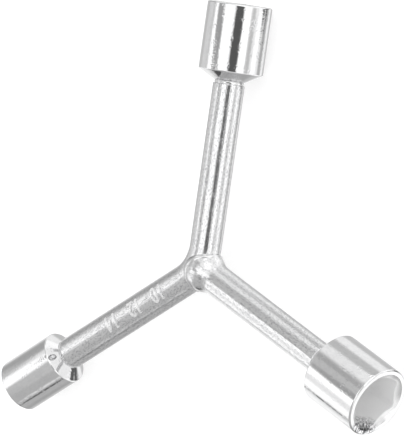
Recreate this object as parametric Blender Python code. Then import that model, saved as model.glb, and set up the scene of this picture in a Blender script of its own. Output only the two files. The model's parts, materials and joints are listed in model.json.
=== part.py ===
# Y wrench: three hexagon sockets on a bent bar and a branch bar, welded together.
# It lies flat, with its arms in one level plane and the upper arm along +Y.
# The origin is on the floor, under the middle of the wrench's box.

from math import atan2, cos, pi, radians, sin, sqrt, tan

import bmesh
import bpy
from mathutils import Vector

# Arms: headings are turned from +Y, anticlockwise from above, and a reach is from hub to mouth
left_heading = radians(124.8)
right_heading = radians(-112)
upper_reach = 0.0724
left_reach = 0.0711
right_reach = 0.0711

# Bars
bar_diameter = 0.0087
bend_radius = 0.0125
bar_edge_round = 0.0003

# Round nose at the inner end of the branch bar, which laps over the bend
nose_radius = 0.0053
nose_offset = 0.0009
nose_fillet = 0.006

# Sockets: hexagon across flats, outside diameter, depth of the hexagon and barrel length
upper_hex = 0.012
left_hex = 0.010
right_hex = 0.014
upper_outside = 0.0177
left_outside = 0.0148
right_outside = 0.0200
upper_hex_depth = 0.012
left_hex_depth = 0.010
right_hex_depth = 0.0125
upper_barrel = 0.0185
left_barrel = 0.0175
right_barrel = 0.0184
neck_diameter = 0.0083
rim_round = 0.0005
shoulder_round = 0.0004
hex_corner_round = 0.0006
lead_in_margin = 0.00015
relief_step = 0.0002
relief_depth = 0.0012
floor_dish = 0.0012

# Length of a shoulder's cone for each unit that its radius falls
shoulder_slope_share = 0.55

# Turned-down bar ends, seated in the sockets
spigot_diameter = 0.0064
spigot_length = 0.004

# Welds
neck_weld_width = 0.0006
neck_weld_crown = 0.00015
hub_weld_thickness = 0.0005
hub_weld_rise = 0.0002

# Gap where two pieces meet, and how far cutters run past a face
clearance = 0.0003
overrun = 0.001

# Facets
bar_segments = 32
socket_segments = 48
bend_steps = 12
nose_steps = 10
fillet_steps = 5
round_steps = 3

bar_radius = bar_diameter / 2
neck_radius = neck_diameter / 2
spigot_radius = spigot_diameter / 2
spigot_bore_radius = spigot_radius + clearance
joint_width = neck_weld_width + 2 * clearance

arms = {
    "upper": (0, upper_reach, upper_hex, upper_outside, upper_hex_depth, upper_barrel),
    "left": (left_heading, left_reach, left_hex, left_outside, left_hex_depth, left_barrel),
    "right": (right_heading, right_reach, right_hex, right_outside, right_hex_depth, right_barrel),
}


def neck_end(arm):
    """Distance from the hub to the small end of a socket's cone."""
    heading, reach, flats, outside, depth, barrel = arms[arm]
    cone_length = (outside / 2 - neck_radius) * shoulder_slope_share
    return reach - barrel - cone_length


def rounded(profile, rounds):
    """Outline of (along, radius) points with the corners named in rounds turned into arcs."""
    outline = []
    for index, point in enumerate(profile):
        if index not in rounds:
            outline.append(point)
            continue
        corner = Vector(point)
        before = (Vector(profile[index - 1]) - corner).normalized()
        after = (Vector(profile[index + 1]) - corner).normalized()
        half = before.angle(after) / 2
        centre = corner + (before + after).normalized() * rounds[index] / sin(half)
        first = corner + before * rounds[index] / tan(half) - centre
        last = corner + after * rounds[index] / tan(half) - centre
        for step in range(round_steps + 1):
            spoke = first.lerp(last, step / round_steps).normalized() * rounds[index]
            outline.append(tuple(centre + spoke))
    return outline


def skin(name, stations, segments, looped=False):
    """Mesh over rings; a station is (centre, sideways direction, radius), and radius 0 is a pole."""
    bm = bmesh.new()
    rings = []
    for centre, side, radius in stations:
        count = segments if radius > 0 else 1
        spokes = [2 * pi * index / count for index in range(count)]
        rings.append([
            bm.verts.new(centre + radius * (cos(spoke) * side + sin(spoke) * Vector((0, 0, 1))))
            for spoke in spokes
        ])
    pairs = list(zip(rings, rings[1:]))
    if looped:
        pairs.append((rings[-1], rings[0]))
    for near, far in pairs:
        for index in range(segments):
            after = index + 1
            corners = [near[index % len(near)], near[after % len(near)],
                       far[after % len(far)], far[index % len(far)]]
            bm.faces.new(list(dict.fromkeys(corners)))
    bmesh.ops.recalc_face_normals(bm, faces=bm.faces)
    return mesh_object(name, bm)


def turned(name, profile, segments, heading, looped=False):
    """Turned piece on an arm's axis, from (along, radius) points."""
    stations = [(Vector((0, along, 0)), Vector((1, 0, 0)), radius) for along, radius in profile]
    piece = skin(name, stations, segments, looped)
    piece.rotation_euler.z = heading
    return piece


def mesh_object(name, bm):
    """Smooth-shaded object from a bmesh, under the wrench's empty."""
    mesh = bpy.data.meshes.new(name)
    bm.to_mesh(mesh)
    bm.free()
    mesh.shade_smooth()
    mesh.set_sharp_from_angle(angle=radians(30))
    piece = bpy.data.objects.new(name, mesh)
    bpy.context.collection.objects.link(piece)
    piece.parent = wrench
    return piece


def combine(piece, operation, other):
    """Boolean modifier with a hidden guide object."""
    other.hide_render = True
    other.display_type = "WIRE"
    modifier = piece.modifiers.new(other.name, "BOOLEAN")
    modifier.operation = operation
    modifier.solver = "EXACT"
    modifier.object = other


def finish(piece, roughness):
    """Bright plated steel, each piece with its own material."""
    material = bpy.data.materials.new(piece.name)
    material.use_nodes = True
    shader = material.node_tree.nodes["Principled BSDF"]
    shader.inputs["Base Color"].default_value = (0.72, 0.73, 0.74, 1)
    shader.inputs["Metallic"].default_value = 1
    shader.inputs["Roughness"].default_value = roughness
    piece.data.materials.append(material)


def bar_end(arm):
    """Outline of a bar's outer end: the spigot's tip, its step and the full bar."""
    face = neck_end(arm) - joint_width
    tip = face + joint_width + spigot_length
    profile = [(tip, 0), (tip, spigot_radius), (face, spigot_radius), (face, bar_radius),
               (face - joint_width, bar_radius)]
    return rounded(profile, {1: bar_edge_round, 3: bar_edge_round})


def bent_stations(upper_end, left_end):
    """Rings along the upper arm, round the bend and out along the left arm."""
    half = left_heading / 2
    centre = Vector((-bend_radius, bend_radius / tan(half), 0))
    turn = pi - left_heading
    stations = [(Vector((0, along, 0)), Vector((1, 0, 0)), radius) for along, radius in upper_end]
    for step in range(bend_steps + 1):
        angle = -turn * step / bend_steps
        side = Vector((cos(angle), sin(angle), 0))
        stations.append((centre + side * bend_radius, side, upper_end[-1][1]))
    outward = Vector((-sin(left_heading), cos(left_heading), 0))
    for along, radius in reversed(left_end):
        stations.append((outward * along, side, radius))
    return stations


def make_main_bar():
    """Bent bar: the upper and left arms."""
    upper_end = bar_end("upper")
    left_end = bar_end("left")
    bar = skin("main_bar", bent_stations(upper_end, left_end), bar_segments)
    finish(bar, 0.14)


def bend_guide(name, radius):
    """Plain tube round the bend, to cut what seats on it."""
    reach = 4 * bend_radius
    end = [(reach, 0), (reach, radius)]
    return skin(name, bent_stations(end, end), bar_segments)


def nose_outline(rise):
    """Outline of the branch bar's nose, from its tip to the plain bar."""
    radius = nose_radius + rise
    shaft = bar_radius + rise
    fillet_along = nose_offset + sqrt((radius + nose_fillet) ** 2 - (shaft + nose_fillet) ** 2)
    meeting = atan2(shaft + nose_fillet, fillet_along - nose_offset)
    outline = [(nose_offset - radius, 0)]
    for step in range(1, nose_steps + 1):
        angle = pi + (meeting - pi) * step / nose_steps
        outline.append((nose_offset + radius * cos(angle), radius * sin(angle)))
    for step in range(1, fillet_steps + 1):
        angle = meeting + (pi / 2 - meeting) * step / fillet_steps
        outline.append((fillet_along - nose_fillet * cos(angle),
                        shaft + nose_fillet - nose_fillet * sin(angle)))
    return outline


def make_branch_bar():
    """Straight bar of the right arm, its nose hollowed to lap over the bend."""
    profile = nose_outline(0) + list(reversed(bar_end("right")))
    bar = turned("branch_bar", profile, bar_segments, right_heading)
    seat = bend_guide("nose_seat_guide", bar_radius + hub_weld_thickness + 2 * clearance)
    combine(bar, "DIFFERENCE", seat)
    finish(bar, 0.14)


def make_hub_weld():
    """Weld metal between the nose and the bend, a saddle with an open rim."""
    outline = nose_outline(hub_weld_rise)
    outline.append((outline[-1][0], 0))
    weld = turned("hub_weld", outline, bar_segments, right_heading)
    skin_radius = bar_radius + clearance + hub_weld_thickness
    combine(weld, "INTERSECT", bend_guide("hub_weld_outer_guide", skin_radius))
    combine(weld, "DIFFERENCE", bend_guide("hub_weld_inner_guide", bar_radius + clearance))
    finish(weld, 0.25)


def make_hexagon_cutter(name, heading, reach, flats, depth):
    """Hexagon prism with eased corners, two of them straight up and down."""
    bm = bmesh.new()
    corner_radius = flats / sqrt(3)
    turns = [pi * index / 3 for index in range(6)]
    corners = [
        bm.verts.new((corner_radius * sin(turn), reach - depth, corner_radius * cos(turn)))
        for turn in turns
    ]
    base = bm.faces.new(corners)
    grown = bmesh.ops.extrude_face_region(bm, geom=[base])["geom"]
    lifted = [element for element in grown if isinstance(element, bmesh.types.BMVert)]
    bmesh.ops.translate(bm, verts=lifted, vec=(0, depth + overrun, 0))
    long_edges = [edge for edge in bm.edges if edge.verts[0].co.y != edge.verts[1].co.y]
    bmesh.ops.bevel(bm, geom=long_edges, offset=hex_corner_round * tan(pi / 6), segments=2,
                    profile=0.5, affect="EDGES")
    bmesh.ops.recalc_face_normals(bm, faces=bm.faces)
    cutter = mesh_object(name, bm)
    cutter.rotation_euler.z = heading
    return cutter


def make_socket(arm):
    """Hexagon socket: barrel, conical shoulder, lead-in, hexagon and spigot bore."""
    heading, reach, flats, outside, depth, barrel = arms[arm]
    neck = neck_end(arm)
    profile = [(reach, 0), (reach, outside / 2), (reach - barrel, outside / 2),
               (neck, neck_radius), (neck, spigot_bore_radius),
               (neck + spigot_length + clearance, spigot_bore_radius),
               (neck + spigot_length + clearance, 0)]
    outline = rounded(profile, {1: rim_round, 2: shoulder_round})
    socket = turned(arm + "_socket", outline, socket_segments, heading)

    # Lead-in cone at the mouth, and a drilled relief with a dished floor behind the hexagon
    lead_radius = flats / sqrt(3) + lead_in_margin
    relief_radius = flats / 2 - relief_step
    relief_end = reach - depth - relief_depth
    bore = [(reach + overrun, 0), (reach + overrun, lead_radius + overrun),
            (reach - lead_radius + relief_radius, relief_radius),
            (relief_end, relief_radius), (relief_end - floor_dish, 0)]
    combine(socket, "DIFFERENCE", turned(arm + "_bore_cutter", bore, socket_segments, heading))
    hexagon = make_hexagon_cutter(arm + "_hexagon_cutter", heading, reach, flats, depth)
    combine(socket, "DIFFERENCE", hexagon)
    finish(socket, 0.10)


def make_neck_weld(arm):
    """Thin crowned ring between a bar's end face and its socket's neck."""
    heading, reach, flats, outside, depth, barrel = arms[arm]
    outer = neck_end(arm) - clearance
    inner = outer - neck_weld_width
    edge_radius = neck_radius - neck_weld_crown
    profile = [(outer, spigot_bore_radius), (outer, edge_radius), ((outer + inner) / 2, neck_radius),
               (inner, edge_radius), (inner, spigot_bore_radius)]
    ring = turned(arm + "_neck_weld", profile, bar_segments, heading, looped=True)
    finish(ring, 0.25)


def stand_on_origin():
    """Move the wrench so that its box's underside is centred on the origin."""
    bpy.context.view_layer.update()
    graph = bpy.context.evaluated_depsgraph_get()
    corners = []
    for piece in wrench.children:
        if piece.hide_render:
            continue
        solid = piece.evaluated_get(graph)
        corners += [solid.matrix_world @ vertex.co for vertex in solid.data.vertices]
    low = Vector([min(corner[axis] for corner in corners) for axis in range(3)])
    high = Vector([max(corner[axis] for corner in corners) for axis in range(3)])
    wrench.location = -Vector(((low.x + high.x) / 2, (low.y + high.y) / 2, low.z))


for old in list(bpy.data.objects):
    bpy.data.objects.remove(old, do_unlink=True)

# The empty marks the hub, where the three arms' axes meet
wrench = bpy.data.objects.new("wrench", None)
bpy.context.collection.objects.link(wrench)

make_main_bar()
make_branch_bar()
make_hub_weld()
for arm_name in arms:
    make_socket(arm_name)
    make_neck_weld(arm_name)
stand_on_origin()
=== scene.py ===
import json
from math import atan2, cos, pi, radians, sin, sqrt, tan

import bpy
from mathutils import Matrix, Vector


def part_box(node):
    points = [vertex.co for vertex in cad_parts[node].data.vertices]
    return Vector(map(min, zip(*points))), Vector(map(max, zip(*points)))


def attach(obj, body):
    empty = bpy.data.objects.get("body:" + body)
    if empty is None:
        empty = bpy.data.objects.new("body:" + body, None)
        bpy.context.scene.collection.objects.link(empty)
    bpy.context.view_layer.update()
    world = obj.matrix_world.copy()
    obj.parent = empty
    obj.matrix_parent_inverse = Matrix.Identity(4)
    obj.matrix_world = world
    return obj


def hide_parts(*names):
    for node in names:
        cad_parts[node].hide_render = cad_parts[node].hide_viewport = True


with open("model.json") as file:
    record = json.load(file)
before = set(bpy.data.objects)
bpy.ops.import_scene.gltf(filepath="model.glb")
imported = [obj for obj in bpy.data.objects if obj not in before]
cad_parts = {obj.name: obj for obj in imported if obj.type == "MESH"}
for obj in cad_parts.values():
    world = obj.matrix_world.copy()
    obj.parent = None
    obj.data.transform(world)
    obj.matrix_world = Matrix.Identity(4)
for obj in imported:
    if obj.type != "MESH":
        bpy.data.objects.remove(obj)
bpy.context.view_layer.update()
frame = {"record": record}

# Places taken from the frame: each socket's mouth, its heading and the hub where the axes meet
mounts = {mount["name"]: mount for mount in frame["record"]["mounts"]}
barBottom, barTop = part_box("main_bar")
barRadius = (barTop[2] - barBottom[2]) / 2
hubHeight = (barTop[2] + barBottom[2]) / 2


def mouthOf(arm):
    place = mounts[arm + "_mouth"]["pos_m"]
    return Vector((place[0], place[1], hubHeight))


def outwardOf(arm):
    return Vector(mounts[arm + "_mouth"]["axis"]).normalized()


def headingOf(arm):
    outward = outwardOf(arm)
    return atan2(-outward.x, outward.y)


def findHub():
    # the left arm's axis meets the upper arm's, which runs along Y
    upper, left, out = mouthOf("upper"), mouthOf("left"), outwardOf("left")
    back = (left.x - upper.x) / out.x
    return left - out * back


hub = findHub()
reach = {arm: (mouthOf(arm) - hub).length for arm in ("upper", "left", "right")}

modelling = {
    "mergeDistance": 1e-7,
    "smoothAngle": 28,        # degrees: edges sharper than this stay crisp
    "arcSteps": 6,
    "rimSteps": 8,
}

bars = {
    "spigotRadius": 0.0032,   # turned-down ends, hidden in the sockets
    "spigotLength": 0.0052,
    "edgeRound": 0.00025,
    "bendRadius": 0.0125,
    "bendSteps": 40,
    "around": 128,
}

nose = {
    "radius": 0.0057,
    "offset": 0.0013,         # from the hub, along the branch
    "fillet": 0.006,
    "ballSteps": 36,
    "filletSteps": 14,
    "lumpSize": 0.0022,       # hand-dressed, so its ball isn't quite round
    "lumpHeight": 0.00004,
}

hubBead = {
    "noseRise": 0.0003,       # stands this proud of the nose
    "bendRise": 0.0008,       # and laps this far up it from the bend
    "reach": 4,               # nose radii: how far the trimming tube runs each way
    "mesh": 0.00014,
    "softening": 9,
    "seamHeight": 0.0004,     # bare metal shows up to here
    "lumpSize": 0.0022,
    "lumpHeight": 0.00005,
}

numerals = {
    "height": 0.006,          # of the letter body, 4.2 mm of it the numbers
    "narrowing": 0.74,
    "spacing": 1.04,
    "relief": 0.00036,
    "stroke": 0.0001,         # thickens the strokes all round
    "mesh": 0.00007,
    "softening": 3,
    "start": 0.0116,          # from the hub
    "turnedTo": 95,           # degrees round the bar
}

socket = {
    "upper": {"flats": 0.012, "depth": 0.012, "barrel": 0.0185, "turn": 0},
    "left": {"flats": 0.010, "depth": 0.010, "barrel": 0.0175, "turn": 0},
    "right": {"flats": 0.014, "depth": 0.0125, "barrel": 0.0184, "turn": -6.5},
    "neckRadius": 0.00415,
    "coneShare": 0.55,
    "rimRound": 0.00052,
    "mouthMargin": 0.00055,   # mouth's radius beyond the hexagon's corners
    "dishSlope": 0.75,        # the lead-in falls this much for each unit inwards
    "shoulderRound": 0.00045,
    "cornerShare": 0.14,      # hexagon corner's round for each unit across flats
    "cornerSteps": 8,
    "reliefStep": 0.0002,
    "reliefDepth": 0.0012,
    "floorDish": 0.0012,
    "boreRadius": 0.0035,
    "boreDepth": 0.0043,
    "around": 144,
}

neckBead = {
    "width": 0.0012,
    "seamShare": 0.3,         # of the width, bare on the bar's side
    "crown": 0.00046,
    "sink": 0.0008,
    "lumpSize": 0.0014,
    "lumpHeight": 0.0003,
}

spatter = {
    "radius": 0.00085,
    "length": 1.5,            # along the cone, for each unit across
    "height": 0.55,
    "share": 0.62,            # of the way from the neck to the barrel
    "around": 32,
    "rings": 20,
    "turnedTo": 96,           # degrees round the socket
    "lumpSize": 0.0006,
    "lumpHeight": 0.0003,
}


def linear(hexColour):
    # sRGB hex to the linear values that shaders take
    parts = [int(hexColour[at:at + 2], 16) / 255 for at in (1, 3, 5)]
    return tuple(p / 12.92 if p <= 0.04045 else ((p + 0.055) / 1.055) ** 2.4 for p in parts) + (1,)


def addNode(tree, kind, settings=None, inputs=None):
    # one node with its settings; an input is a value or another node's output
    node = tree.nodes.new(kind)
    for name, value in (settings or {}).items():
        setattr(node, name, value)
    for name, value in (inputs or {}).items():
        if isinstance(value, bpy.types.NodeSocket):
            tree.links.new(value, node.inputs[name])
        else:
            node.inputs[name].default_value = value
    return node


# Studio: white all round, for the metal too; its pale and dark panels show in reflections only
panels = [
    # azimuth, elevation, radius and softness in degrees, brightness
    ("farLowGrey", 173, -16, 17, 10, 0.6),
    ("backGrey", -179, 32, 9, 8, 0.6),
    ("nearLowGrey", 130, -50, 16, 9, 0.6),
    ("sideLowGrey", -130, -55, 15, 9, 0.6),
    ("sideHighGrey", -124, 54, 17, 9, 0.6),
    ("underGrey", -170, -76, 11, 8, 0.6),
    ("nearGrey", 125, 45, 16, 9, 0.6),
    ("sideWall", -95, 0, 45, 12, 0.51),
    ("farWall", 160, 6, 20, 10, 0.43),
    ("backSheet", -179, 12, 14, 8, 0.75),
    ("nearWall", 102, 2, 14, 9, 0.58),
    ("nearSheetLow", 106, -25, 11, 7, 1.0),
    ("nearSheetHigh", 107, 27, 11, 7, 0.95),
    ("nearFlag", 125, 48, 6, 5, 0.45),
    ("farSheetLow", 166, -33, 8, 6, 0.9),
    ("farSheetHigh", 171, 40, 5, 4, 0.95),
    ("keyBox", -168, 47.5, 12.5, 8, 1.35),
    ("topFlag", 156, 57, 12, 6, 0.57),
    ("topDark", 175, 57.5, 6.5, 4, 0.4),
    ("backFlag", -178, 69, 6, 4, 0.38),
    ("overheadBox", -3, 84, 17, 3, 1.35),
    ("cameraBody", -2, 47.8, 14.5, 3, 0.11),
    ("lowSheet", -2, 18.5, 10, 5, 1.5),
    ("lowFlag", -2, -4, 3.5, 8, 0.62),
    ("underSheet", -8, -31, 11, 3, 1.3),
    ("underFlag", -2, -64, 9, 6, 0.5),
    ("underBox", 10, -82, 8, 4, 1.05),
    ("underDark", 14.5, -46, 9.5, 1.5, 0.12),
    ("underDarkLow", 19, -59, 9, 1.5, 0.12),
    ("leftSheetHigh", -151, 30, 8, 8, 0.95),
    ("leftSheet", -147, 14, 8, 7, 1.3),
    ("leftDarkLine", -146, -4, 2.5, 1.5, 0.15),
    ("leftSheetLow", -155, -22, 9, 5, 1.1),
    ("lowSide", -152, -62, 8, 6, 1.0),
    ("lowSideFlag", -106, -39, 9, 6, 0.44),
    ("sideLine", -89, 4.5, 4, 2, 0.8),
    ("sideDarkLine", -90, -8.5, 3.5, 1.5, 0.15),
    ("coneFlag", -121, -17, 10, 2, 0.1),
    ("coneSheet", 80, -11, 10, 5, 1.2),
    ("faceSheet", -48, -51, 13, 5, 1.3),
    ("dishSheet", -17, 18, 9, 5, 1.25),
    ("hubSheet", 42, 32, 23, 2, 1.4),
    ("hubSheetNear", 14, 12, 11, 2, 1.4),
    ("hubDark", -78, 55, 11, 4, 0.2),
    ("hubTop", 148, 71, 7, 2, 1.3),
    ("hubSheetFar", 88, 18, 10, 2, 1.35),
    ("hubSheetLow", 57, -36, 18, 4, 1.35),
    ("rimFlag", 48, -62, 11, 3, 0.1),
]

studio = {
    "whiteLevel": 1.0,
    "floorSize": 3.0,
    "floorAlbedo": "#f2f2f2",
    "floorGlow": 0.36,
}

view = {
    "location": (1.388022, 0.088602, 1.710738),
    "rotationDegrees": (4.352, 39.199, 10.4815),
    "focalLength": 725.29,
    "sensorWidth": 36,
}


def direction(azimuth, elevation):
    a, e = radians(azimuth), radians(elevation)
    return (cos(a) * cos(e), sin(a) * cos(e), sin(e))


def makeStudio():
    world = bpy.data.worlds.new("studio")
    bpy.context.scene.world = world
    world.use_nodes = True
    tree = world.node_tree
    tree.nodes.clear()
    way = addNode(tree, "ShaderNodeTexCoord").outputs["Generated"]
    level = studio["whiteLevel"]
    for name, azimuth, elevation, radius, softness, brightness in panels:
        near = addNode(tree, "ShaderNodeVectorMath", {"operation": "DOT_PRODUCT", "label": name},
                       {0: way, 1: direction(azimuth, elevation)}).outputs["Value"]
        inside = addNode(tree, "ShaderNodeMapRange", {"interpolation_type": "SMOOTHSTEP"},
                         {"Value": near, "From Min": cos(radians(radius + softness)),
                          "From Max": cos(radians(max(radius - softness, 0)))}).outputs["Result"]
        level = addNode(tree, "ShaderNodeMix", {"data_type": "FLOAT"},
                        {"Factor": inside, "A": level, "B": brightness}).outputs["Result"]
    path = addNode(tree, "ShaderNodeLightPath")
    plain = addNode(tree, "ShaderNodeMath", {"operation": "MAXIMUM"},
                    {0: path.outputs["Is Camera Ray"],
                     1: path.outputs["Is Diffuse Ray"]}).outputs["Value"]
    shown = addNode(tree, "ShaderNodeMix", {"data_type": "FLOAT"},
                    {"Factor": plain, "A": level, "B": studio["whiteLevel"]}).outputs["Result"]
    background = addNode(tree, "ShaderNodeBackground", None, {"Color": shown})
    addNode(tree, "ShaderNodeOutputWorld", None, {"Surface": background.outputs["Background"]})

    # White paper floor under the wrench, which keeps its shadow
    bpy.ops.mesh.primitive_plane_add(size=studio["floorSize"], location=(0, 0, 0))
    floor = bpy.context.object
    floor.name = "floor"
    floor.visible_glossy = False
    paper = bpy.data.materials.new("whitePaperSweep")
    paper.use_nodes = True
    tree = paper.node_tree
    tree.nodes.clear()
    path = addNode(tree, "ShaderNodeLightPath")
    diffuse = addNode(tree, "ShaderNodeBsdfDiffuse", None, {"Color": linear(studio["floorAlbedo"])})
    glow = addNode(tree, "ShaderNodeMath", {"operation": "MULTIPLY"},
                   {0: path.outputs["Is Camera Ray"], 1: studio["floorGlow"]}).outputs["Value"]
    emission = addNode(tree, "ShaderNodeEmission", None, {"Strength": glow})
    both = addNode(tree, "ShaderNodeAddShader", None,
                   {0: diffuse.outputs["BSDF"], 1: emission.outputs["Emission"]})
    addNode(tree, "ShaderNodeOutputMaterial", None, {"Surface": both.outputs["Shader"]})
    floor.data.materials.append(paper)


def makeCamera():
    camera = bpy.data.objects.new("camera", bpy.data.cameras.new("camera"))
    bpy.context.collection.objects.link(camera)
    camera.location = view["location"]
    camera.rotation_euler = [radians(angle) for angle in view["rotationDegrees"]]
    camera.data.sensor_fit = "HORIZONTAL"
    camera.data.sensor_width = view["sensorWidth"]
    camera.data.lens = view["focalLength"]
    bpy.context.scene.camera = camera
    bpy.context.scene.view_settings.view_transform = "Standard"


# Finishes

drawnFinish = {
    "plate": "#f2f2f2",
    "plateCloud": "#e2e2e3",
    "roughness": 0.185,
    "haze": 0.04,                     # added where the plating clouded
    # per metre: drawing lines, the real ones too fine to show, drawn 0.4 mm apart
    "lineScale": (2600, 70, 2600),
    "lineDepth": 0.000035,
    "grainScale": 2600,
    "grainDepth": 0.00004,
    "pitScale": (3600, 1500, 3600),   # fine pits that the drawing stretched
    "pitPlate": "#c4c4c6",
}

turnedFinish = {
    "plate": "#f2f2f2",
    "plateCloud": "#e2e2e3",
    "roughness": 0.06,
    "haze": 0.06,
    "lineScale": (160, 2400, 160),    # turning lines run round the socket
    "lineDepth": 0.00001,
    "grainScale": 1900,
    "grainDepth": 0.00004,
    "pitScale": (2000, 900, 2000),
    "pitPlate": "#e6e6e7",
    "borePlate": "#f8f8f8",           # no polishing wheel reaches the bore, so it stays satin
    "boreRoughness": 0.17,
    "boreMetal": 0.1,                 # plated too, but far lighter inside than a metal renders here
    "boreGrain": 0.6,                 # of the grain that a rubbed patch has
}

# pressed up after the drawing, so satin where the bar is a mirror; half metal, to stand out as pale
numeralFinish = dict(drawnFinish, roughness=0.3, plate="#ffffff", plateCloud="#f4f4f4", metal=0.5)

# the right socket's mouth gets a speckled patch of painted shade on one side, inside its lip
shadedMouthFinish = dict(turnedFinish, mouthShadePlace=(0.0083, 0.0698, 0.0007), mouthShadeRadius=0.006,
                     mouthShadeCore=0.6, mouthShadeSpeckleScale=(900, 2200, 2200), mouthShadePlate="#68686b")

weldFinish = {
    "plate": "#f2f2f2",
    "plateCloud": "#e2e2e3",
    "roughness": 0.17,
    "haze": 0.1,
    "lineScale": (900, 900, 900),     # ripples a millimetre across
    "lineDepth": 0.00004,
    "grainScale": 2000,
    "grainDepth": 0.00001,
    "pitScale": (1500, 1500, 1500),
    "pitPlate": "#e6e6e7",
    "seamPlate": "#505053",           # flux kept the plating off in places
}

# dark grey, with near-black patches round its foot, where it meets the cone
spatterFinish = dict(weldFinish, plate="#8e8e91", plateCloud="#c0c0c1", seamPlate="#1c1c1e")

# what every finish shares: clouds 2 mm across, and where in its pattern each mark starts and is full
plating = {
    "cloudScale": 420,
    "cloudDetail": 4,
    "markDetail": 2,
    "rubbed": (0.48, 0.62),
    "pitted": (0.48, 0.72),
    "hazy": (0.45, 0.65),
    "bare": (0.44, 0.54),
    # speckles of the painted shade in the right socket's mouth
    "mouthShadeSpeckles": (0.4, 0.58),
}


def streaks(tree, place, scale):
    # marks drawn out along one direction
    drawn = addNode(tree, "ShaderNodeMapping", None,
                    {"Vector": place, "Scale": scale}).outputs["Vector"]
    return addNode(tree, "ShaderNodeTexNoise", None,
                   {"Vector": drawn, "Scale": 1, "Detail": plating["markDetail"]}).outputs["Fac"]


def paintedMouthShade(tree, place, finish):
    # patchy painted shade within a radius of one place
    away = addNode(tree, "ShaderNodeVectorMath", {"operation": "DISTANCE"},
                   {0: place, 1: finish["mouthShadePlace"]}).outputs["Value"]
    near = addNode(tree, "ShaderNodeMapRange", None,
                   {"Value": away, "From Min": finish["mouthShadeRadius"],
                    "From Max": finish["mouthShadeRadius"] * finish["mouthShadeCore"]}).outputs["Result"]
    marked = addNode(tree, "ShaderNodeMapRange", None,
                     {"Value": streaks(tree, place, finish["mouthShadeSpeckleScale"]),
                      "From Min": plating["mouthShadeSpeckles"][0],
                      "From Max": plating["mouthShadeSpeckles"][1]}).outputs["Result"]
    return addNode(tree, "ShaderNodeMath", {"operation": "MULTIPLY"},
                   {0: near, 1: marked}).outputs["Value"]


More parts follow.
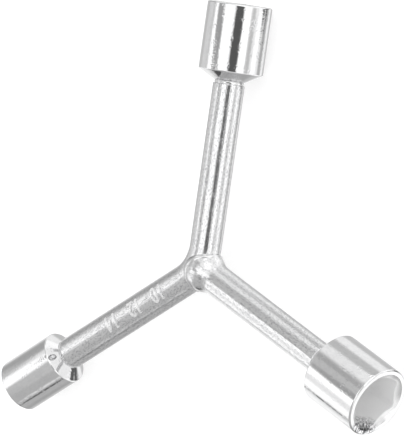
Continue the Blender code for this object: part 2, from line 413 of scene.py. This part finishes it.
def platedSteel(name, finish):
    # bright plated steel: a mirror broken by tool lines and a slightly pebbled plating
    material = bpy.data.materials.new(name)
    material.use_nodes = True
    tree = material.node_tree
    shader = tree.nodes["Principled BSDF"]
    shader.inputs["Metallic"].default_value = finish.get("metal", 1)
    place = addNode(tree, "ShaderNodeAttribute", {"attribute_name": "alongBar"}).outputs["Vector"]
    cloudy = addNode(tree, "ShaderNodeTexNoise", None,
                     {"Vector": place, "Scale": plating["cloudScale"],
                      "Detail": plating["cloudDetail"]}).outputs["Fac"]

    # tool lines, and grain where the plating was rubbed
    lineBump = addNode(tree, "ShaderNodeBump", None,
                       {"Height": streaks(tree, place, finish["lineScale"]), "Strength": 1,
                        "Distance": finish["lineDepth"]}).outputs["Normal"]
    grain = addNode(tree, "ShaderNodeTexNoise", None,
                    {"Vector": place, "Scale": finish["grainScale"], "Detail": 0}).outputs["Fac"]
    rubbed = addNode(tree, "ShaderNodeMapRange", None,
                     {"Value": cloudy, "From Min": plating["rubbed"][0],
                      "From Max": plating["rubbed"][1]}).outputs["Result"]
    if "borePlate" in finish:
        inside = addNode(tree, "ShaderNodeAttribute", {"attribute_name": "insideBore"}).outputs["Fac"]
        boreGrain = addNode(tree, "ShaderNodeMath", {"operation": "MULTIPLY"},
                            {0: inside, 1: finish["boreGrain"]}).outputs["Value"]
        rubbed = addNode(tree, "ShaderNodeMath", {"operation": "MAXIMUM"},
                         {0: rubbed, 1: boreGrain}).outputs["Value"]
    grainBump = addNode(tree, "ShaderNodeBump", None,
                        {"Height": grain, "Strength": rubbed, "Distance": finish["grainDepth"],
                         "Normal": lineBump}).outputs["Normal"]

    # 6 and 7 are a colour mix's two colours, and output 2 the mixed one
    colour = addNode(tree, "ShaderNodeMix", {"data_type": "RGBA"},
                     {0: cloudy, 6: linear(finish["plate"]), 7: linear(finish["plateCloud"])}).outputs[2]
    pitted = addNode(tree, "ShaderNodeMapRange", None,
                     {"Value": streaks(tree, place, finish["pitScale"]), "From Min": plating["pitted"][0],
                      "From Max": plating["pitted"][1]}).outputs["Result"]
    colour = addNode(tree, "ShaderNodeMix", {"data_type": "RGBA"},
                     {0: pitted, 6: colour, 7: linear(finish["pitPlate"])}).outputs[2]
    rough = addNode(tree, "ShaderNodeMapRange", None,
                    {"Value": cloudy, "From Min": plating["hazy"][0], "From Max": plating["hazy"][1],
                     "To Min": finish["roughness"],
                     "To Max": finish["roughness"] + finish["haze"]}).outputs["Result"]
    if "borePlate" in finish:
        colour = addNode(tree, "ShaderNodeMix", {"data_type": "RGBA"},
                         {0: inside, 6: colour, 7: linear(finish["borePlate"])}).outputs[2]
        rough = addNode(tree, "ShaderNodeMix", {"data_type": "FLOAT"},
                        {"Factor": inside, "A": rough, "B": finish["boreRoughness"]}).outputs["Result"]
        metal = addNode(tree, "ShaderNodeMix", {"data_type": "FLOAT"},
                        {"Factor": inside, "A": 1, "B": finish["boreMetal"]}).outputs["Result"]
        tree.links.new(metal, shader.inputs["Metallic"])
    if "seamPlate" in finish:
        seam = addNode(tree, "ShaderNodeAttribute", {"attribute_name": "weldSeam"}).outputs["Fac"]
        patchy = addNode(tree, "ShaderNodeMapRange", None,
                         {"Value": cloudy, "From Min": plating["bare"][0],
                          "From Max": plating["bare"][1]}).outputs["Result"]
        bare = addNode(tree, "ShaderNodeMath", {"operation": "MULTIPLY"},
                       {0: seam, 1: patchy}).outputs["Value"]
        colour = addNode(tree, "ShaderNodeMix", {"data_type": "RGBA"},
                         {0: bare, 6: colour, 7: linear(finish["seamPlate"])}).outputs[2]
    # painted shade on one side of the right socket's mouth, mixed into the colour
    if "mouthShadePlace" in finish:
        colour = addNode(tree, "ShaderNodeMix", {"data_type": "RGBA"},
                         {0: paintedMouthShade(tree, place, finish), 6: colour,
                          7: linear(finish["mouthShadePlate"])}).outputs[2]
    tree.links.new(colour, shader.inputs["Base Color"])
    tree.links.new(rough, shader.inputs["Roughness"])
    tree.links.new(grainBump, shader.inputs["Normal"])
    return material


def deselectAll():
    if bpy.context.mode != "OBJECT":
        bpy.ops.object.mode_set(mode="OBJECT")
    bpy.ops.object.select_all(action="DESELECT")


def select(piece):
    deselectAll()
    piece.select_set(True)
    bpy.context.view_layer.objects.active = piece


def turnOutline(name, outline, around, closed=False):
    # a point is drawn out along the outline, then spun round the arm's axis
    deselectAll()
    bpy.ops.mesh.primitive_plane_add(size=barRadius)
    piece = bpy.context.object
    piece.name = name
    bpy.ops.object.mode_set(mode="EDIT")
    bpy.ops.mesh.merge(type="CENTER")
    spots = [Vector((radius, along, 0)) for along, radius in outline]
    bpy.ops.transform.translate(value=spots[0])
    rest = spots[1:] + (spots[:1] if closed else [])
    before = spots[0]
    for spot in rest:
        bpy.ops.mesh.extrude_region_move(TRANSFORM_OT_translate={"value": spot - before})
        before = spot
    bpy.ops.mesh.select_all(action="SELECT")
    bpy.ops.mesh.spin(steps=around, angle=2 * pi, center=(0, 0, 0), axis=(0, 1, 0))
    bpy.ops.mesh.select_all(action="SELECT")
    bpy.ops.mesh.remove_doubles(threshold=modelling["mergeDistance"])
    bpy.ops.mesh.normals_make_consistent(inside=False)
    bpy.ops.object.mode_set(mode="OBJECT")
    return piece


def cornerRounds(outline, rounds, steps=modelling["arcSteps"]):
    # the named corners of an outline become arcs
    smooth = []
    for index, spot in enumerate(outline):
        if index not in rounds:
            smooth.append(spot)
            continue
        corner = Vector(spot)
        before = (Vector(outline[index - 1]) - corner).normalized()
        after = (Vector(outline[index + 1]) - corner).normalized()
        half = before.angle(after) / 2
        size = rounds[index]
        centre = corner + (before + after).normalized() * size / sin(half)
        first = corner + before * size / tan(half) - centre
        last = corner + after * size / tan(half) - centre
        for step in range(steps + 1):
            smooth.append(tuple(centre + first.lerp(last, step / steps).normalized() * size))
    return smooth


def rememberPlace(piece, straighten=None):
    # keeps each point's place on a straight bar, for patterns that follow the metal
    spots = piece.data.attributes.new("alongBar", "FLOAT_VECTOR", "POINT")
    for index, vertex in enumerate(piece.data.vertices):
        spots.data[index].vector = straighten(vertex.co) if straighten else vertex.co


def putOnArm(piece, heading):
    select(piece)
    piece.rotation_euler.z = heading
    piece.location = hub
    bpy.ops.object.transform_apply(location=True, rotation=True, scale=True)


def finishPiece(piece, material, slot, *nodes):
    select(piece)
    bpy.ops.object.shade_smooth_by_angle(angle=radians(modelling["smoothAngle"]))
    piece.data.materials.clear()
    piece.data.materials.append(material)
    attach(piece, "root")
    if nodes:
        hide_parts(*nodes)


def cut(piece, operation, other):
    select(piece)
    modifier = piece.modifiers.new(operation.lower(), "BOOLEAN")
    modifier.operation = operation
    modifier.solver = "EXACT"
    modifier.object = other
    bpy.ops.object.modifier_apply(modifier=modifier.name)
    bpy.data.objects.remove(other, do_unlink=True)


def socketRadius(arm):
    # a barrel's diameter is its node's height
    low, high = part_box(arm + "_socket")
    return (high[2] - low[2]) / 2


def neckEnd(arm):
    cone = (socketRadius(arm) - socket["neckRadius"]) * socket["coneShare"]
    return reach[arm] - socket[arm]["barrel"] - cone


def barEnd(arm):
    # outline from the hidden tip of the spigot to the full bar
    face = neckEnd(arm) - neckBead["width"] + neckBead["crown"]
    tip = face + bars["spigotLength"]
    outline = [(tip, 0), (tip, bars["spigotRadius"]), (face, bars["spigotRadius"]), (face, barRadius),
               (face - neckBead["width"], barRadius)]
    return cornerRounds(outline, {1: bars["edgeRound"], 3: bars["edgeRound"]})


def tubeRing(outline, heading):
    # extrudes the selected ring along an arm, step by step
    outward = Vector((-sin(heading), cos(heading), 0))
    before = outline[0]
    for spot in outline[1:]:
        bpy.ops.mesh.extrude_region_move(
            TRANSFORM_OT_translate={"value": outward * (spot[0] - before[0])})
        if spot[1] != before[1]:
            bpy.ops.transform.resize(value=[spot[1] / before[1]] * 3,
                                     center_override=outward * spot[0])
        before = spot


def makeBentTube(name, radius, upperEnd, leftEnd):
    # a ring at the upper end is drawn down the arm, spun round the bend and drawn out again
    deselectAll()
    half = headingOf("left") / 2
    bendCentre = Vector((-bars["bendRadius"], bars["bendRadius"] / tan(half), 0))
    first = upperEnd[1]
    bpy.ops.mesh.primitive_circle_add(vertices=bars["around"], radius=first[1],
                                      location=(0, first[0], 0), rotation=(pi / 2, 0, 0),
                                      fill_type="NGON")
    piece = bpy.context.object
    piece.name = name
    bpy.ops.object.transform_apply(location=True, rotation=True, scale=True)
    bpy.ops.object.mode_set(mode="EDIT")
    tubeRing(upperEnd[1:] + [(bendCentre.y, radius)], 0)
    bpy.ops.mesh.spin(steps=bars["bendSteps"], angle=pi - headingOf("left"), center=bendCentre,
                      axis=(0, 0, 1))
    tangent = bars["bendRadius"] / tan(half)
    tubeRing([(tangent, radius)] + list(reversed(leftEnd[1:])), headingOf("left"))
    bpy.ops.mesh.select_all(action="SELECT")
    bpy.ops.mesh.normals_make_consistent(inside=False)
    bpy.ops.object.mode_set(mode="OBJECT")
    return piece


def unbend(spot):
    # place on the bent bar as if it were straight, the upper arm along +Y
    half = headingOf("left") / 2
    centre = Vector((-bars["bendRadius"], bars["bendRadius"] / tan(half), 0))
    turn = pi - headingOf("left")
    angle = atan2(centre.y - spot.y, spot.x - centre.x)
    if spot.y >= centre.y:
        return spot.copy()
    if angle <= turn:
        outFromCentre = sqrt((spot.x - centre.x) ** 2 + (spot.y - centre.y) ** 2)
        return Vector((outFromCentre - bars["bendRadius"], centre.y - angle * bars["bendRadius"], spot.z))
    side = Vector((cos(turn), -sin(turn), 0))
    outward = Vector((-sin(headingOf("left")), cos(headingOf("left")), 0))
    past = spot.dot(outward) - centre.y
    return Vector((spot.dot(side), centre.y - turn * bars["bendRadius"] - past, spot.z))


def makeBentBar():
    piece = makeBentTube("bentBar", barRadius, barEnd("upper"), barEnd("left"))
    rememberPlace(piece, unbend)
    putOnArm(piece, 0)
    finishPiece(piece, drawnBar, "bright_bar", "main_bar")


def noseOutline(rise):
    radius = nose["radius"] + rise
    shaft = barRadius + rise
    filletAlong = nose["offset"] + sqrt((radius + nose["fillet"]) ** 2 - (shaft + nose["fillet"]) ** 2)
    meeting = atan2(shaft + nose["fillet"], filletAlong - nose["offset"])
    outline = [(nose["offset"] - radius, 0)]
    for step in range(1, nose["ballSteps"] + 1):
        angle = pi + (meeting - pi) * step / nose["ballSteps"]
        outline.append((nose["offset"] + radius * cos(angle), radius * sin(angle)))
    for step in range(1, nose["filletSteps"] + 1):
        angle = meeting + (pi / 2 - meeting) * step / nose["filletSteps"]
        outline.append((filletAlong - nose["fillet"] * cos(angle),
                        shaft + nose["fillet"] - nose["fillet"] * sin(angle)))
    return outline


def makeBranchBar():
    outline = noseOutline(0) + list(reversed(barEnd("right")))
    piece = turnOutline("branchBar", outline, bars["around"])
    rememberPlace(piece)
    ball = piece.vertex_groups.new(name="ball")
    for vertex in piece.data.vertices:
        ball.add([vertex.index], max(0, 1 - abs(vertex.co.y) / nose["fillet"]), "REPLACE")
    addLumps(piece, nose["lumpSize"], nose["lumpHeight"], "ball")
    putOnArm(piece, headingOf("right"))
    finishPiece(piece, drawnBar, "bright_bar", "branch_bar")


def addLumps(piece, size, height, group=""):
    # uneven metal: each point moves in or out by a cloudy pattern
    cloud = bpy.data.textures.new(piece.name + "Lumps", "CLOUDS")
    cloud.noise_scale = size
    lumps = piece.modifiers.new("lumps", "DISPLACE")
    lumps.texture = cloud
    lumps.strength = height
    lumps.mid_level = 0.5
    lumps.vertex_group = group
    select(piece)
    bpy.ops.object.modifier_apply(modifier=lumps.name)


def markSeam(piece, heights, seamHeight):
    # 1 where the bead runs out on the bar, falling to 0 at the seam's height
    seam = piece.data.attributes.new("weldSeam", "FLOAT", "POINT")
    for index, height in enumerate(heights):
        seam.data[index].value = max(0, min(1, 1 - height / seamHeight))


def makeHubBead():
    # weld metal laid where the nose meets the bend, softened as it flowed
    outline = noseOutline(hubBead["noseRise"])
    piece = turnOutline("hubBead", outline + [(outline[-1][0], 0)], bars["around"])
    piece.rotation_euler.z = headingOf("right")
    select(piece)
    bpy.ops.object.transform_apply(location=True, rotation=True, scale=True)
    outer = barRadius + hubBead["bendRise"]
    tubeEnd = nose["radius"] * hubBead["reach"]
    end = [(tubeEnd, 0), (tubeEnd, outer)]
    cut(piece, "INTERSECT", makeBentTube("beadTube", outer, end, end))
    piece.data.remesh_voxel_size = hubBead["mesh"]
    bpy.ops.object.voxel_remesh()
    soften = piece.modifiers.new("soften", "SMOOTH")
    soften.iterations = hubBead["softening"]
    bpy.ops.object.modifier_apply(modifier=soften.name)
    addLumps(piece, hubBead["lumpSize"], hubBead["lumpHeight"])
    rememberPlace(piece)
    nearBar = [unbend(vertex.co) for vertex in piece.data.vertices]
    heights = [sqrt(spot.x ** 2 + spot.z ** 2) - barRadius for spot in nearBar]
    markSeam(piece, heights, hubBead["seamHeight"])
    putOnArm(piece, 0)
    finishPiece(piece, weldMetal, "weld_metal", "hub_weld")


def makeSizeNumerals():
    # plain size numbers pressed up along the left arm, read from the hub outwards
    deselectAll()
    bpy.ops.object.text_add()
    piece = bpy.context.object
    piece.name = "sizeNumerals"
    sizes = [socket[arm]["flats"] * 1000 for arm in ("left", "upper", "right")]
    piece.data.body = "%d - %d - %d" % tuple(sizes)
    piece.data.size = numerals["height"]
    piece.data.space_character = numerals["spacing"]
    piece.data.extrude = numerals["relief"]
    piece.data.offset = numerals["stroke"]
    piece.data.align_y = "CENTER"
    bpy.ops.object.convert(target="MESH")
    piece.scale.x = numerals["narrowing"]
    bpy.ops.object.transform_apply(location=True, rotation=True, scale=True)
    piece.data.remesh_voxel_size = numerals["mesh"]
    bpy.ops.object.voxel_remesh()
    soften = piece.modifiers.new("soften", "SMOOTH")
    soften.iterations = numerals["softening"]
    bpy.ops.object.modifier_apply(modifier=soften.name)
    for vertex in piece.data.vertices:
        angle = radians(numerals["turnedTo"]) + vertex.co.y / barRadius
        radius = barRadius + vertex.co.z
        vertex.co = (radius * cos(angle), numerals["start"] + vertex.co.x, radius * sin(angle))
    rememberPlace(piece)
    putOnArm(piece, headingOf("left"))
    finishPiece(piece, pressedNumerals, "bright_bar")


def makeHexagonCutter(arm):
    flats, depth = socket[arm]["flats"], socket[arm]["depth"]
    overrun = socket["rimRound"]
    length = depth + overrun
    bpy.ops.mesh.primitive_cylinder_add(vertices=6, radius=flats / sqrt(3), depth=length,
                                        location=(0, reach[arm] + overrun - length / 2, 0),
                                        rotation=(pi / 2, 0, 0))
    cutter = bpy.context.object
    bpy.ops.object.transform_apply(location=True, rotation=True, scale=True)
    bpy.ops.object.mode_set(mode="EDIT")
    bpy.ops.mesh.select_all(action="DESELECT")
    bpy.ops.object.mode_set(mode="OBJECT")
    for edge in cutter.data.edges:
        ends = [cutter.data.vertices[index].co for index in edge.vertices]
        edge.select = abs(ends[0].y - ends[1].y) > overrun
    bpy.ops.object.mode_set(mode="EDIT")
    bpy.ops.mesh.bevel(offset=socket["cornerShare"] * flats * tan(pi / 6), segments=socket["cornerSteps"],
                       profile=0.5)
    bpy.ops.object.mode_set(mode="OBJECT")
    cutter.rotation_euler.y = radians(socket[arm]["turn"])
    bpy.ops.object.transform_apply(location=True, rotation=True, scale=True)
    return cutter


def makeSocket(arm):
    flats, depth, mouth = socket[arm]["flats"], socket[arm]["depth"], reach[arm]
    outside, neck = socketRadius(arm), neckEnd(arm)
    boreEnd = neck + socket["boreDepth"]
    outline = [(mouth, 0), (mouth, outside), (mouth - socket[arm]["barrel"], outside),
               (neck, socket["neckRadius"]), (neck, socket["boreRadius"]),
               (boreEnd, socket["boreRadius"]), (boreEnd, 0)]
    outline = cornerRounds(outline, {1: socket["rimRound"], 2: socket["shoulderRound"]},
                           modelling["rimSteps"])
    piece = turnOutline(arm + "Socket", outline, socket["around"])

    lip = flats / sqrt(3) + socket["mouthMargin"]
    relief = flats / 2 - socket["reliefStep"]
    reliefEnd = mouth - depth - socket["reliefDepth"]
    overrun = socket["rimRound"]
    slope = socket["dishSlope"]
    bore = [(mouth + overrun * slope, 0), (mouth + overrun * slope, lip + overrun),
            (mouth - (lip - relief) * slope, relief), (reliefEnd, relief),
            (reliefEnd - socket["floorDish"], 0)]
    cut(piece, "DIFFERENCE", turnOutline("boreCutter", bore, socket["around"]))
    cut(piece, "DIFFERENCE", makeHexagonCutter(arm))
    rememberPlace(piece)
    inside = piece.data.attributes.new("insideBore", "FLOAT", "POINT")
    for index, vertex in enumerate(piece.data.vertices):
        fromAxis = sqrt(vertex.co.x ** 2 + vertex.co.z ** 2)
        inBore = boreEnd < vertex.co.y < mouth - socket["mouthMargin"]
        inside.data[index].value = fromAxis < lip and inBore
    putOnArm(piece, headingOf(arm))
    # the right socket's finish has painted shade in its mouth
    finish = shadedMouthSocket if arm == "right" else turnedSocket
    finishPiece(piece, finish, "bright_socket", arm + "_socket")


def makeNeckBead(arm):
    near = neckEnd(arm) + neckBead["crown"]
    far = neckEnd(arm) - neckBead["width"]
    low = socket["neckRadius"] - neckBead["sink"]
    edge = socket["neckRadius"] - neckBead["crown"]
    outline = [(near, low), (near, edge), ((near + far) / 2, socket["neckRadius"] + neckBead["crown"]),
               (far, edge), (far, low)]
    outline = cornerRounds(outline, {2: neckBead["width"]})
    piece = turnOutline(arm + "NeckBead", outline, bars["around"], closed=True)
    addLumps(piece, neckBead["lumpSize"], neckBead["lumpHeight"])
    rememberPlace(piece)
    heights = [abs(vertex.co.y - far) for vertex in piece.data.vertices]
    markSeam(piece, heights, neckBead["width"] * neckBead["seamShare"])
    putOnArm(piece, headingOf(arm))
    finishPiece(piece, weldMetal, "weld_metal", arm + "_neck_weld")


def makeSpatter():
    # a drop of weld metal that froze on the left socket's cone
    rise = socketRadius("left") - socket["neckRadius"]
    slant = atan2(rise, reach["left"] - socket["left"]["barrel"] - neckEnd("left"))
    deselectAll()
    bpy.ops.mesh.primitive_uv_sphere_add(segments=spatter["around"], ring_count=spatter["rings"],
                                         radius=spatter["radius"])
    piece = bpy.context.object
    piece.name = "weldSpatter"
    heights = [abs(vertex.co.z) for vertex in piece.data.vertices]
    piece.scale = (1, spatter["length"], spatter["height"])
    piece.rotation_euler.x = slant
    piece.location = (0, neckEnd("left") + rise * spatter["share"] / tan(slant),
                      socket["neckRadius"] + rise * spatter["share"])
    bpy.ops.object.transform_apply(location=True, rotation=True, scale=True)
    piece.rotation_euler.y = radians(90 - spatter["turnedTo"])
    bpy.ops.object.transform_apply(location=True, rotation=True, scale=True)
    addLumps(piece, spatter["lumpSize"], spatter["lumpHeight"])
    rememberPlace(piece)
    markSeam(piece, heights, spatter["radius"])
    putOnArm(piece, headingOf("left"))
    finishPiece(piece, darkSpatter, "weld_metal")


makeStudio()
makeCamera()
print("studio and camera ready")

drawnBar = platedSteel("brightPlatedDrawnBar", drawnFinish)
pressedNumerals = platedSteel("platedPressedNumerals", numeralFinish)
turnedSocket = platedSteel("brightPlatedTurnedSocket", turnedFinish)
# turned finish with painted shade in the mouth, for the right socket
shadedMouthSocket = platedSteel("platedTurnedSocketPaintedShade", shadedMouthFinish)
weldMetal = platedSteel("platedWeldMetal", weldFinish)
darkSpatter = platedSteel("darkWeldSpatter", spatterFinish)

makeBentBar()
makeBranchBar()
makeHubBead()
makeSizeNumerals()
print("bars and hub ready")

for arm in reach:
    makeSocket(arm)
    makeNeckBead(arm)
makeSpatter()
print("sockets ready")
